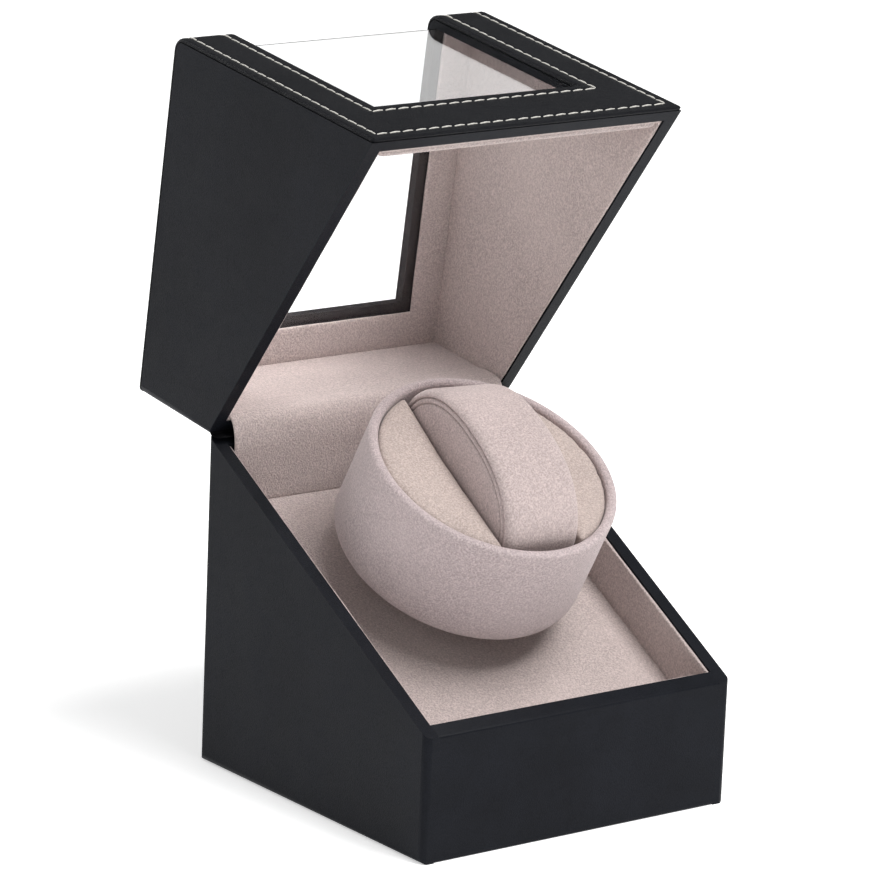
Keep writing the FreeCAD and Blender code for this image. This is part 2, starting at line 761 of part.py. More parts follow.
def pillow_face(inset):
    """Side view of the pillow: flat-bottomed, with a broad rounded crown."""
    half = value("pillow_long") - inset
    rise = value("pillow_rise") - inset
    base = value("pillow_base")
    crown = []
    steps = 24
    for k in range(steps + 1):
        along = math.cos(math.pi * k / steps)
        height = rise * (1 - abs(along) ** 2.4) ** 0.5
        crown.append(FreeCAD.Vector(0, half * along, base + height))
    curve = Part.BSplineCurve()
    curve.interpolate(crown)
    low = value("pillow_low") + inset
    tuck = half - 4
    foot = [
        crown[-1],
        FreeCAD.Vector(0, -half, low + 12),
        FreeCAD.Vector(0, -tuck, low),
        FreeCAD.Vector(0, tuck, low),
        FreeCAD.Vector(0, half, low + 12),
        crown[0],
    ]
    sides = [Part.LineSegment(a, b).toShape() for a, b in zip(foot, foot[1:])]
    return Part.Face(Part.Wire([curve.toShape()] + sides))


def pillow_block(inset, x0, x1):
    face = pillow_face(inset)
    face.translate(FreeCAD.Vector(x0, 0, 0))
    return face.extrude(FreeCAD.Vector(x1 - x0, 0, 0))


def pillow():
    """Watch pillow: foam core, a velvet band round it and an end panel on each side."""
    half = value("pillow_half")
    end = value("pillow_end")
    inside = half - end
    core = pillow_block(end, -inside, inside)
    subpart("pillow_core", solid(core, "core"), in_drum)
    band = pillow_block(0, -inside, inside).cut(pillow_block(end, -half, half))
    subpart("pillow_band", solid(band, "band"), in_drum)
    subpart("pillow_end_left", solid(pillow_block(0, -half, -inside), "end"), in_drum)
    subpart("pillow_end_right", solid(pillow_block(0, inside, half), "end"), in_drum)


def rear_panel_parts():
    """Rear plate, the power inlet and the rocker switch with its housing."""
    back = "depth / 2"
    jack_x = "plate_x - 8"
    rock_x = "plate_x + 6"
    rows = ("plate_z - 11", "plate_z + 11")
    plate = box("plate_x - 21", "plate_x + 21", back, f"{back} + 1.6", *rows)
    plate = rounded(plate, "2.5", runs(Y_AXIS))
    opening = (f"{rock_x} - 4.8", f"{rock_x} + 4.8")
    tall = ("plate_z - 7.4", "plate_z + 7.4")
    plate = cut(
        plate,
        rod(jack_x, f"{back} - 1", "plate_z", "4", "5", Y_AXIS),
        box(*opening, f"{back} - 1", f"{back} + 3", *tall),
        plate_screws(),
    )
    subpart("rear_plate", plate)
    subpart("rear_plate_screws", plate_screws())

    block = box(
        f"{jack_x} - 4.5", f"{jack_x} + 4.5", f"{back} - 12", back, "plate_z - 5", "plate_z + 5")
    barrel = rod(jack_x, f"{back} - 1", "plate_z", "4", "3.4", Y_AXIS)
    bore = rod(jack_x, f"{back} - 8", "plate_z", "2.75", "20", Y_AXIS)
    pin = rod(jack_x, f"{back} - 9", "plate_z", "1", "9.5", Y_AXIS)
    subpart("dc_jack", fuse(cut(fuse(block, barrel), bore), pin))

    pivot = (f"{back} - 1", "plate_z")
    frame = fuse(
        box(*opening, f"{back} - 11", f"{back} + 1.6", *tall),
        box(
            f"{rock_x} - 5.8", f"{rock_x} + 5.8", f"{back} + 1.6", f"{back} + 2.6",
            "plate_z - 8.4", "plate_z + 8.4",
        ),
    )
    well = box(
        f"{rock_x} - 3.9", f"{rock_x} + 3.9", f"{back} - 8", f"{back} + 4",
        "plate_z - 6.5", "plate_z + 6.5",
    )
    sockets = rod(f"{rock_x} - 4.5", *pivot, "0.85", "9", X_AXIS)
    subpart("rocker_housing", cut(frame, well, sockets))

    turn = math.radians(-9)
    corners = []
    for out, up in [(-4, -2.2), (-4, 2.2), (3.2, 5.6), (2.2, 0), (3.2, -5.6)]:
        y = round(out * math.cos(turn) - up * math.sin(turn), 4)
        z = round(out * math.sin(turn) + up * math.cos(turn), 4)
        corners.append((f"{back} - 1 + {y}", f"plate_z + {z}"))
    cap = prism("YZ_Plane", corners, f"{rock_x} - 3.8", "7.6")
    subpart("power_rocker", fuse(cap, rod(f"{rock_x} - 4.4", *pivot, "0.8", "8.8", X_AXIS)))


def speed_board():
    """Circuit board on four posts over the floor panel."""
    posts = [rod(x, y, "floor_hi", "2", "3") for x in ("-43", "-17") for y in ("-7", "19")]
    subpart("board_posts", fuse(*posts))
    top = "floor_hi + 4.6"
    board = fuse(
        box("-46", "-14", "-10", "22", "floor_hi + 3", top),
        box("-36", "-26", "0", "8", top, "floor_hi + 6.2"),
        rod("-20", "4", top, "3", "8"),
        rod("-20", "12", top, "2.5", "6"),
        box("-44", "-39", "2", "14", top, "floor_hi + 10"),
    )
    subpart("circuit_board", board)


def plate_screws():
    """Two pan-head screws that hold the rear plate."""
    pieces = []
    for x in ("plate_x - 18", "plate_x + 18"):
        pieces.append(rod(x, "depth / 2 + 1.6", "plate_z", "2.1", "0.9", Y_AXIS))
        pieces.append(rod(x, "depth / 2 - 3.8", "plate_z", "1.1", "5.4", Y_AXIS))
    return fuse(*pieces)


def write_steps():
    doc.recompute()
    for obj in doc.Objects:
        if "Invalid" in obj.State or "Error" in obj.State:
            raise RuntimeError(f"{obj.Label}: {obj.State}")
    for obj in SUBPARTS:
        if obj.Shape.isNull() or not obj.Shape.isValid() or not obj.Shape.Solids:
            raise RuntimeError(f"{obj.Label}: bad shape")
        obj.Shape.exportStep(f"parts/{obj.Label}.step")


base_walls()
base_linings()
deck_parts()
lid_shell()
lid_linings()
hinges()
gearbox()
gear_train()
drum()
pillow()
rear_panel_parts()
speed_board()
write_steps()
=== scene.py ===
import json
import math
import random

import bmesh
import bpy
from mathutils import Matrix, Vector, noise


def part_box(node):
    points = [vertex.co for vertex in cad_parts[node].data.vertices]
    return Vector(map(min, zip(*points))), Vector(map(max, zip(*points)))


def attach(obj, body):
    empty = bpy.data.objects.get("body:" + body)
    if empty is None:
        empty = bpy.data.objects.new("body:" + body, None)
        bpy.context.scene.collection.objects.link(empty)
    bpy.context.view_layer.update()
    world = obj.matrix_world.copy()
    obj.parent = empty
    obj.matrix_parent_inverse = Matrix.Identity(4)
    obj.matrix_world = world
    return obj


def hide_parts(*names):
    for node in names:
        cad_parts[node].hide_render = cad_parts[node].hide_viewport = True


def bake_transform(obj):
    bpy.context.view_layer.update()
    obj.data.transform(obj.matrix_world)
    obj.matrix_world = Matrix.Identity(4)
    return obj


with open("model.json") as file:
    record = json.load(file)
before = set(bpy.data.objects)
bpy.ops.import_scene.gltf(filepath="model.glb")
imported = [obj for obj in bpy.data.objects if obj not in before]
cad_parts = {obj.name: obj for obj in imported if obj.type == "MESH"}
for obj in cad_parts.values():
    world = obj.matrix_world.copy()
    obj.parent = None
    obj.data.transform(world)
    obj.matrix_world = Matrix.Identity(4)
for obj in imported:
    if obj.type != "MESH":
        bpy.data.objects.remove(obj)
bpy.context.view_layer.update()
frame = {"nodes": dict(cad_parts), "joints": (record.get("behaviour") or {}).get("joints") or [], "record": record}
NODES = frame["nodes"]
JOINTS = {joint["name"]: joint for joint in frame["joints"]}
MM = 0.001

# ---------------------------------------------------------------- where things are

HINGE = Vector(JOINTS["lid_hinge"]["pos_m"])
LID_OPEN = math.radians(JOINTS["lid_hinge"]["range_deg"][1])
LID_SPACE = (
    Matrix.Translation(HINGE)
    @ Matrix.Rotation(-LID_OPEN, 4, "X")
    @ Matrix.Translation(-HINGE)
)
DRUM_AXIS = Vector(JOINTS["drum_spin"]["axis"]).normalized()
DRUM_SPACE = Matrix.Translation(Vector(JOINTS["drum_spin"]["pos_m"])) @ Matrix.Rotation(
    math.atan2(-DRUM_AXIS.y, DRUM_AXIS.z), 4, "X"
)
PILLOW_TURN = math.radians(-4.0)
PILLOW_SPACE = DRUM_SPACE @ Matrix.Rotation(PILLOW_TURN, 4, "Z")

BASE_LOW, BASE_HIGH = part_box("base_left_panel")
HALF_W = -BASE_LOW.x
HALF_D = -BASE_LOW.y
FRONT_H = 42 * MM
CLOSED_H = 155 * MM
SLOPE = (BASE_HIGH.z - FRONT_H) / (2 * HALF_D)

# ---------------------------------------------------------------- materials


class Nodes:
    """A short way to write a material's node tree."""

    def __init__(self, name):
        self.material = bpy.data.materials.new(name)
        self.material.use_nodes = True
        self.tree = self.material.node_tree
        self.shader = self.tree.nodes["Principled BSDF"]
        self.place = self.tree.nodes.new("ShaderNodeTexCoord").outputs["Object"]

    def add(self, kind, inputs=None, **settings):
        node = self.tree.nodes.new("ShaderNode" + kind)
        for key, value in settings.items():
            setattr(node, key, value)
        for key, value in (inputs or {}).items():
            self.put(node.inputs[key], value)
        return node

    def put(self, socket, value):
        if isinstance(value, bpy.types.NodeSocket):
            self.tree.links.new(value, socket)
        else:
            socket.default_value = value

    def set(self, **inputs):
        for key, value in inputs.items():
            self.put(self.shader.inputs[key.replace("_", " ")], value)

    def noise(self, scale, detail=3.0, rough=0.55, where=None):
        node = self.add(
            "TexNoise",
            {"Vector": where or self.place, "Scale": scale, "Detail": detail, "Roughness": rough},
        )
        return node.outputs["Fac"]

    def cells(self, scale, feature="F1", where=None, jitter=1.0):
        node = self.add(
            "TexVoronoi",
            {"Vector": where or self.place, "Scale": scale, "Randomness": jitter},
            feature=feature,
        )
        return node.outputs["Distance"]

    def ramp(self, factor, *stops):
        node = self.add("ValToRGB", {"Fac": factor})
        points = node.color_ramp.elements
        while len(points) < len(stops):
            points.new(0.5)
        for point, (where, colour) in zip(points, stops):
            point.position = where
            point.color = (*colour, 1.0)
        return node.outputs["Color"]

    def math(self, how, a, b=0.5, clamp=False):
        node = self.add("Math", {0: a, 1: b}, operation=how, use_clamp=clamp)
        return node.outputs[0]

    def span(self, value, low, high, out_low=0.0, out_high=1.0):
        limits = {"From Min": low, "From Max": high, "To Min": out_low, "To Max": out_high}
        return self.add("MapRange", {"Value": value, **limits}).outputs["Result"]

    def mix(self, factor, a, b):
        node = self.add("Mix", {"Factor": factor}, data_type="RGBA")
        self.put(node.inputs["A"], (*a, 1.0) if isinstance(a, tuple) else a)
        self.put(node.inputs["B"], (*b, 1.0) if isinstance(b, tuple) else b)
        return node.outputs["Result"]

    def warp(self, scale, amount):
        """Texture coordinates pushed about by a soft noise."""
        wobble = self.add(
            "TexNoise", {"Vector": self.place, "Scale": scale, "Detail": 2.0}
        ).outputs["Color"]
        shift = self.add("VectorMath", {0: wobble, 1: (0.5, 0.5, 0.5)}, operation="SUBTRACT")
        grown = self.add("VectorMath", {0: shift.outputs[0], "Scale": amount}, operation="SCALE")
        return self.add(
            "VectorMath", {0: self.place, 1: grown.outputs[0]}, operation="ADD"
        ).outputs[0]

    def bump(self, height, strength, distance, under=None):
        node = self.add("Bump", {"Height": height, "Strength": strength, "Distance": distance})
        if under is not None:
            self.put(node.inputs["Normal"], under)
        return node.outputs["Normal"]


def scaled(colour, factor):
    return tuple(c * factor for c in colour)


def leather(name, dark, light, grain, depth, rough):
    """Grained artificial leather: pebbled cells with painted shade in their creases, fine pores, faint rubs and a
    soft shine.
    """
    n = Nodes(name)
    where = n.warp(60, 0.004)
    pebbles = n.cells(grain, "DISTANCE_TO_EDGE", where)
    pores = n.noise(grain * 2.6, 2.0, 0.6, where)
    cloud = n.noise(22, 4.0, 0.6)
    rub = n.noise(90, 5.0, 0.7)
    crease = n.span(pebbles, 0.0, 0.16)
    tone = n.span(n.math("ADD", cloud, n.math("MULTIPLY", rub, 0.5)), 0.45, 1.0)
    colour = n.mix(tone, dark, light)
    # Painted shade: the creases between the grain's pebbles are darkened in the colour.
    colour = n.mix(n.span(crease, 0.0, 1.0, 0.35, 0.0), colour, scaled(dark, 0.45))
    soft = n.bump(cloud, 0.10, 0.002)
    fine = n.bump(pores, 0.25, depth * 0.5, soft)
    worn = n.math("ADD", rub, n.math("MULTIPLY", crease, -0.12))
    n.set(
        Base_Color=colour,
        Roughness=n.span(worn, 0.2, 0.8, rough - 0.07, rough + 0.1),
        Specular_IOR_Level=0.07,
        Normal=n.bump(crease, 0.55, depth, fine),
    )
    return n.material


def velvet(name, pile, depth=0.0005, pebble=1900):
    """Short-pile velvet: a crisp suede-like pebble, darker in its hollows, brushed patches and a pale sheen."""
    n = Nodes(name)
    where = n.warp(500, 0.0006)
    lumps = n.noise(pebble, 2.0, 0.55, where)
    tufts = n.cells(pebble * 0.8, "SMOOTH_F1", where)
    brushed = n.noise(34, 3.0, 0.6)
    fibres = n.noise(6500, 2.0, 0.6)
    nap = n.math("ADD", n.math("MULTIPLY", lumps, 0.8), n.math("MULTIPLY", tufts, 0.35))
    # The pebble's hollows are darker: partly the pile's own mottle, partly painted shade of the pebble relief.
    colour = n.mix(n.span(nap, 0.42, 0.74), scaled(pile, 0.62), scaled(pile, 1.06))
    colour = n.mix(n.span(brushed, 0.35, 0.7, 0.0, 0.25), colour, scaled(pile, 1.12))
    colour = n.mix(n.span(fibres, 0.3, 0.7, 0.0, 0.18), colour, scaled(pile, 0.6))
    n.set(
        Base_Color=colour,
        Roughness=0.9,
        Specular_IOR_Level=0.15,
        Sheen_Weight=0.45,
        Sheen_Roughness=0.4,
        Sheen_Tint=(1.0, 0.92, 0.91, 1.0),
        Normal=n.bump(fibres, 0.3, 0.00003, n.bump(nap, 1.0, depth)),
    )
    return n.material


def thread(name, colour):
    """Twisted sewing thread."""
    n = Nodes(name)
    fuzz = n.noise(6000, 3.0, 0.6)
    twist = n.noise(2600, 1.0, 0.5)
    n.set(
        Base_Color=n.mix(fuzz, scaled(colour, 0.82), colour),
        Roughness=0.75,
        Sheen_Weight=0.3,
        Normal=n.bump(twist, 0.6, 0.00006),
    )
    return n.material


def plastic(name, colour, rough=0.42, texture=2400, strength=0.25):
    """Moulded plastic with a fine spark-eroded texture."""
    n = Nodes(name)
    speck = n.noise(texture, 3.0, 0.6)
    haze = n.noise(70, 3.0, 0.5)
    n.set(
        Base_Color=n.mix(haze, scaled(colour, 0.85), colour),
        Roughness=n.span(haze, 0.2, 0.8, rough - 0.06, rough + 0.08),
        Normal=n.bump(speck, strength, 0.00004),
    )
    return n.material


def metal(name, colour, rough=0.3, grain=1500):
    """Plated or turned metal with fine drawn lines and faint tarnish."""
    n = Nodes(name)
    stretch = n.add("Mapping", {"Vector": n.place, "Scale": (0.08, 1.0, 1.0)}).outputs[0]
    lines = n.noise(grain, 3.0, 0.6, stretch)
    stain = n.noise(160, 4.0, 0.6)
    n.set(
        Base_Color=n.mix(n.span(stain, 0.4, 0.8), colour, scaled(colour, 0.8)),
        Metallic=1.0,
        Roughness=n.span(stain, 0.3, 0.8, rough, rough + 0.15),
        Normal=n.bump(lines, 0.15, 0.00003),
    )
    return n.material


def board(name):
    """Raw fibreboard: pressed fibres with darker flecks."""
    n = Nodes(name)
    fibre = n.noise(900, 5.0, 0.7)
    fleck = n.cells(420)
    colour = n.ramp(fibre, (0.25, (0.25, 0.17, 0.10)), (0.75, (0.46, 0.34, 0.22)))
    n.set(
        Base_Color=n.mix(n.span(fleck, 0.0, 0.25, 0.5, 0.0), colour, (0.16, 0.10, 0.06)),
        Roughness=0.85,
        Normal=n.bump(fibre, 0.4, 0.0001),
    )
    return n.material


def felt(name, colour):
    """Matted wool felt."""
    n = Nodes(name)
    tangle = n.noise(1500, 6.0, 0.75)
    n.set(
        Base_Color=n.mix(tangle, scaled(colour, 0.5), colour),
        Roughness=0.97,
        Sheen_Weight=0.5,
        Normal=n.bump(tangle, 0.8, 0.0003),
    )
    return n.material


def clear_sheet(name):
    """Clear acrylic: very slightly hazy, with faint rub marks."""
    n = Nodes(name)
    marks = n.noise(240, 6.0, 0.75)
    n.set(
        Base_Color=(0.93, 0.935, 0.94, 1.0),
        Roughness=n.span(marks, 0.55, 0.8, 0.0, 0.05),
        IOR=1.6,
        Transmission_Weight=1.0,
    )
    return n.material


def circuit(name):
    """Green laminate with a faint copper pattern under the lacquer."""
    n = Nodes(name)
    greens = {
        "Color1": (0.02, 0.16, 0.07, 1),
        "Color2": (0.03, 0.2, 0.09, 1),
        "Mortar": (0.06, 0.32, 0.15, 1),
    }
    tracks = n.add("TexBrick", {"Vector": n.place, "Scale": 210.0, "Mortar Size": 0.03, **greens})
    lacquer = n.bump(n.noise(900), 0.15, 0.00005)
    n.set(Base_Color=tracks.outputs["Color"], Roughness=0.3, Normal=lacquer)
    return n.material


MATERIALS = {
    "black_leather": leather(
        "black_leather", (0.0060, 0.0067, 0.0092), (0.0108, 0.0120, 0.0162), 1250, 0.00004, 0.46
    ),
    "trim_leather": leather(
        "trim_leather", (0.0050, 0.0054, 0.007), (0.0108, 0.0113, 0.0138), 950, 0.0002, 0.44
    ),
    "hinge_cloth": leather(
        "hinge_cloth", (0.004, 0.004, 0.0045), (0.006, 0.006, 0.007), 1500, 0.00006, 0.6
    ),
    "velvet": velvet("velvet", (0.605, 0.508, 0.486)),
    "cushion_velvet": velvet("cushion_velvet", (0.54, 0.447, 0.41), 0.00022),
    "pillow_velvet": velvet("pillow_velvet", (0.55, 0.455, 0.44), 0.00025),
    # Velvet for the pillow's end panels: lighter than the band's as painted light, lifting the shade on these
    # side-facing panels.
    "panel_velvet": velvet("panel_velvet", (0.62, 0.51, 0.50), 0.0002),
    "cup_velvet": velvet("cup_velvet", (0.57, 0.475, 0.475), 0.0004),
    "felt": felt("felt", (0.02, 0.02, 0.021)),
    "board": board("board"),
    "steel": metal("steel", (0.42, 0.42, 0.43), 0.36),
    "motor_steel": metal("motor_steel", (0.52, 0.52, 0.53), 0.38),
    "brass": metal("brass", (0.70, 0.52, 0.24), 0.3),
    "black_plastic": plastic("black_plastic", (0.016, 0.016, 0.017)),
    "white_plastic": plastic("white_plastic", (0.78, 0.78, 0.75), 0.35),
    "circuit_green": circuit("circuit_green"),
    "clear_sheet": clear_sheet("clear_sheet"),
    "foam": felt("foam", (0.62, 0.58, 0.46)),
    "thread": thread("thread", (0.66, 0.64, 0.59)),
}


def dress(obj, material):
    obj.data.materials.clear()
    obj.data.materials.append(MATERIALS[material])
    return obj


# ---------------------------------------------------------------- CAD nodes


SAME_POINT = 0.002 * MM
SHARP = math.radians(35)


def soften_edges(obj, width):
    """Round sharp edges with modifiers, once the coincident points of the faces are joined."""
    weld = obj.modifiers.new("weld", "WELD")
    weld.merge_threshold = SAME_POINT
    bevel = obj.modifiers.new("edge", "BEVEL")
    bevel.width = width
    bevel.segments = 3
    bevel.limit_method = "ANGLE"
    bevel.angle_limit = SHARP
    bevel.harden_normals = True


SLOT_OF = {part["node"]: part["material_slot"] for part in frame["record"]["subparts"]}
EDGE_OF = {"black_leather": 1.0 * MM, "black_plastic": 0.3 * MM, "steel": 0.1 * MM}
for name, node in NODES.items():
    slot = SLOT_OF[name]
    dress(node, slot)
    if slot in EDGE_OF:
        soften_edges(node, EDGE_OF[slot])


# ---------------------------------------------------------------- mesh helpers


def new_object(name, verts, faces, material, space=None):
    """Mesh object from points, carried from a part's own space into the row frame."""
    if space is not None:
        verts = [space @ Vector(v) for v in verts]
    mesh = bpy.data.meshes.new(name)
    mesh.from_pydata([tuple(v) for v in verts], [], faces)
    mesh.update()
    for face in mesh.polygons:
        face.use_smooth = True
    obj = bpy.data.objects.new(name, mesh)
    bpy.context.scene.collection.objects.link(obj)
    dress(obj, material)
    return obj


def outward(obj):
    """Point every face of a closed mesh outwards."""
    bm = bmesh.new()
    bm.from_mesh(obj.data)
    bmesh.ops.recalc_face_normals(bm, faces=bm.faces)
    bm.to_mesh(obj.data)
    bm.free()
    return obj


def loop_faces(rings, count, closed=True):
    """Quads between successive rings of count points each."""
    faces = []
    span = count if closed else count - 1
    for r in range(rings - 1):
        for k in range(span):
            a = r * count + k
            b = r * count + (k + 1) % count
            faces.append((a, b, b + count, a + count))
    return faces


def settle(obj):
    """Bake an object's modifiers into its mesh."""
    depsgraph = bpy.context.evaluated_depsgraph_get()
    baked = bpy.data.meshes.new_from_object(obj.evaluated_get(depsgraph))
    obj.modifiers.clear()
    old = obj.data
    obj.data = baked
    bpy.data.meshes.remove(old)
    return obj


PRESSURE = 2.5
FRAMES = 20


def puff(obj, cap, pinned):
    """Inflate a sewn cover with cloth simulation; its seams, listed in pinned, stay put."""
    scene = bpy.context.scene
    rest = [v.co.copy() for v in obj.data.vertices]
    group = obj.vertex_groups.new(name="seams")
    group.add(pinned, 1.0, "REPLACE")
    cloth = obj.modifiers.new("cloth", "CLOTH")
    cloth.settings.quality = 6
    cloth.settings.mass = 0.15
    cloth.settings.tension_stiffness = 12
    cloth.settings.compression_stiffness = 12
    cloth.settings.shear_stiffness = 6
    cloth.settings.bending_stiffness = 0.4
    cloth.settings.use_pressure = True
    cloth.settings.uniform_pressure_force = PRESSURE
    cloth.settings.effector_weights.gravity = 0.0
    cloth.settings.vertex_group_mass = group.name
    cloth.collision_settings.use_collision = False
    cloth.collision_settings.use_self_collision = False
    cloth.point_cache.frame_start = 1
    cloth.point_cache.frame_end = FRAMES
    for number in range(1, FRAMES + 1):
        scene.frame_set(number)
    settle(obj)
    scene.frame_set(1)
    for vertex, start in zip(obj.data.vertices, rest):
        moved = vertex.co - start
        if moved.length > cap:
            vertex.co = start + moved * (cap / moved.length)
    obj.vertex_groups.clear()
    return obj


def smooth_up(obj):
    part = obj.modifiers.new("smooth", "SUBSURF")
    part.levels = 1
    return settle(obj)


def remesh(obj, voxel):
    part = obj.modifiers.new("remesh", "REMESH")
    part.mode = "VOXEL"
    part.voxel_size = voxel
    part.use_smooth_shade = True
    return settle(obj)


def relax(obj, rounds):
    part = obj.modifiers.new("relax", "SMOOTH")
    part.iterations = rounds
    part.factor = 0.5
    return settle(obj)


# ---------------------------------------------------------------- linings

CLOTH_EDGE = 0.4 * MM
CLOTH_GRID = 3.5 * MM
CLOTH_SWELL = 0.22 * MM
DECK_SWELL = 0.25 * MM
BEAD_R = 1.5 * MM
BEAD_IN = 1.4 * MM
BEAD_UP = 2.35 * MM
BEAD_END = 6.4 * MM


def grid_cuts(bm, step):
    """Divide a mesh along a regular grid, so that its flat faces can be made uneven."""
    for axis in range(3):
        spots = [v.co[axis] for v in bm.verts]
        low, high = min(spots), max(spots)
        count = round((high - low) / step)
        normal = [0.0, 0.0, 0.0]
        normal[axis] = 1.0
        for k in range(1, count):
            spot = [0.0, 0.0, 0.0]
            spot[axis] = low + (high - low) * k / count
            parts = bm.verts[:] + bm.edges[:] + bm.faces[:]
            bmesh.ops.bisect_plane(bm, geom=parts, dist=1e-7, plane_co=spot, plane_no=normal)


def soft_lining(node, body, material, swell):
    """Sheet of cloth over card in a node's place: rolled edges and a softly uneven face."""
    piece = bpy.data.objects.new(node + "_cloth", NODES[node].data.copy())
    bpy.context.scene.collection.objects.link(piece)
    dress(piece, material)
    bm = bmesh.new()
    bm.from_mesh(piece.data)
    bmesh.ops.remove_doubles(bm, verts=bm.verts, dist=SAME_POINT)
    flat = math.radians(1)
    bmesh.ops.dissolve_limit(bm, angle_limit=flat, verts=bm.verts, edges=bm.edges)
    sharp = [edge for edge in bm.edges if edge.calc_face_angle(0) > SHARP]
    bmesh.ops.bevel(bm, geom=sharp, offset=CLOTH_EDGE, segments=3, profile=0.5, affect="EDGES")
    grid_cuts(bm, CLOTH_GRID)
    bm.normal_update()
    for vert in bm.verts:
        dune = noise.noise(vert.co * 55) * 0.6 + noise.noise(vert.co * 170) * 0.4
        vert.co += vert.normal * swell * (0.5 + dune)
    bm.to_mesh(piece.data)
    bm.free()
    for face in piece.data.polygons:
        face.use_smooth = True
    piece.data.set_sharp_from_angle(angle=math.radians(50))
    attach(piece, body)
    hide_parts(node)
    return piece


def build_bead():
    """Rolled velvet edge along the front lining's rim, where the cloth is folded over its card."""
    flat = LID_SPACE.inverted()
    corners = [flat @ v.co for v in NODES["lid_front_lining"].data.vertices]
    rim = min(corners, key=lambda spot: spot.z)
    sides, columns = 18, 480
    verts = []
    for c in range(columns + 1):
        t = 2 * c / columns - 1
        x = (HALF_W - BEAD_END) * t
        fat = BEAD_R * (1 - abs(t) ** 60 * 0.6)
        for k in range(sides):
            angle = 2 * math.pi * k / sides
            across, up = math.cos(angle), math.sin(angle)
            tuft = 1 + 0.08 * noise.noise(Vector((x * 1500, across * 3, up * 3)))
            y = rim.y + BEAD_IN + fat * tuft * across
            verts.append((x, y, rim.z + BEAD_UP + fat * tuft * up))
    faces = loop_faces(columns + 1, sides)
    faces += [tuple(range(sides)), tuple(range(columns * sides, (columns + 1) * sides))]
    bead = outward(new_object("lid_rim_bead", verts, faces, "velvet", LID_SPACE))
    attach(bead, "lid")


build_bead()
for name in ("left", "right", "front"):
    soft_lining(f"base_{name}_lining", "base", "velvet", CLOTH_SWELL)
for name in ("left", "right", "front", "back", "top"):
    soft_lining(f"lid_{name}_lining", "lid", "velvet", CLOTH_SWELL)
soft_lining("deck_velvet", "base", "velvet", DECK_SWELL)
soft_lining("underside_felt", "base", "felt", 0.0)


# ---------------------------------------------------------------- window trim and stitches

TRIM_T = 1.6 * MM
TRIM_ROUND = 1.2 * MM
NECK_LIFT = 0.3 * MM
UNDERCUT = 0.4 * MM
PLAN_R = 2.0 * MM
CORNER_R = 5.0 * MM
WIN_HALF = 41.2 * MM
WIN_BACK = 40.6 * MM
WIN_LOW = 71.9 * MM
GAP = 0.35 * MM
FRONT_RUN = CLOSED_H - CORNER_R
BEND = CORNER_R * math.pi / 2
TRIM_LOW = FRONT_H + GAP
TRIM_END = FRONT_RUN + BEND + 2 * HALF_D - CORNER_R
HOLE_END = FRONT_RUN + BEND + HALF_D - CORNER_R + WIN_BACK
OUT_SIDE = 3.9 * MM
OUT_LOW = 5.0 * MM
OUT_END = 4.5 * MM
IN_ROW = 4.4 * MM
ROW_DIP = 0.26 * MM
ROW_WIDE = 0.8 * MM
TRIM_SWELL = 0.06 * MM
TRIM_GRID = 0.8 * MM
RISE = 3 * MM
PITCH = 5.0 * MM
THREAD_R = 0.31 * MM
SLANT = 0.2 * MM


def wrapped(x, run, lift):
    """Point on the closed lid: run climbs the front face, rounds the corner and crosses the top.

    lift is measured outwards from the panels' face, TRIM_T being the trim's full thickness."""
    drop = TRIM_T - lift
    if run <= FRONT_RUN:
        return Vector((x, -HALF_D + drop, run))
    if run <= FRONT_RUN + BEND:
        turn = (run - FRONT_RUN) / CORNER_R
        radius = CORNER_R - drop
        return Vector((
            x,
            -HALF_D + CORNER_R - radius * math.cos(turn),
            FRONT_RUN + radius * math.sin(turn),
        ))
    return Vector((x, -HALF_D + CORNER_R + run - FRONT_RUN - BEND, CLOSED_H - drop))


def rounded_plan(x, run):
    """A grid point of the strip, moved so that the strip's outer corners are round in plan."""
    for corner, way in ((TRIM_LOW, 1), (TRIM_END, -1)):
        a = abs(x) - (HALF_W - PLAN_R)
        b = PLAN_R - way * (run - corner)
        if a > 0 and b > 0:
            u, v = a / PLAN_R, b / PLAN_R
            across = HALF_W - PLAN_R + a * math.sqrt(1 - v * v / 2)
            return math.copysign(across, x), corner + way * (PLAN_R - b * math.sqrt(1 - u * u / 2))
    return x, run


def graded(low, high, coarse):
    """Levels from low to high: bunched at both ends, spread in the middle."""
    near = [low + v * MM for v in (0, 0.1, 0.25, 0.45, 0.7, 0.95, 1.25, 1.7, 2.3, 3.0)]
    far = [high - (v - low) for v in near][::-1]
    steps = max(2, round((far[0] - near[-1]) / coarse))
    middle = [near[-1] + (far[0] - near[-1]) * k / steps for k in range(1, steps)]
    return near + middle + far


def even(low, high, count):
    return [low + (high - low) * k / count for k in range(1, count)]


def strip_edges(x, run):
    """Distance to each edge of the strip, with the direction that leads away from it."""
    found = [
        (HALF_W - abs(x), (-math.copysign(1, x), 0)),
        (run - TRIM_LOW, (0, 1)),
        (TRIM_END - run, (0, -1)),
    ]
    beside = abs(x) - WIN_HALF, (math.copysign(1, x), 0)
    below = WIN_LOW - run, (0, -1)
    above = run - HOLE_END, (0, 1)
    return found, max((beside, below, above), key=lambda item: item[0])


def outer_row(x, run):
    inside = TRIM_LOW + OUT_LOW < run < TRIM_END - OUT_END
    return min(
        abs(HALF_W - OUT_SIDE - abs(x)) if inside else 1.0,
        abs(run - TRIM_LOW - OUT_LOW) if abs(x) < HALF_W - OUT_SIDE else 1.0,
        abs(TRIM_END - OUT_END - run) if abs(x) < HALF_W - OUT_SIDE else 1.0,
    )


def inner_row(x, run):
    return min(
        abs(abs(x) - WIN_HALF - IN_ROW) if WIN_LOW - IN_ROW < run < HOLE_END + IN_ROW else 1.0,
        abs(WIN_LOW - IN_ROW - run) if abs(x) < WIN_HALF + IN_ROW else 1.0,
        abs(run - HOLE_END - IN_ROW) if abs(x) < WIN_HALF + IN_ROW else 1.0,
    )


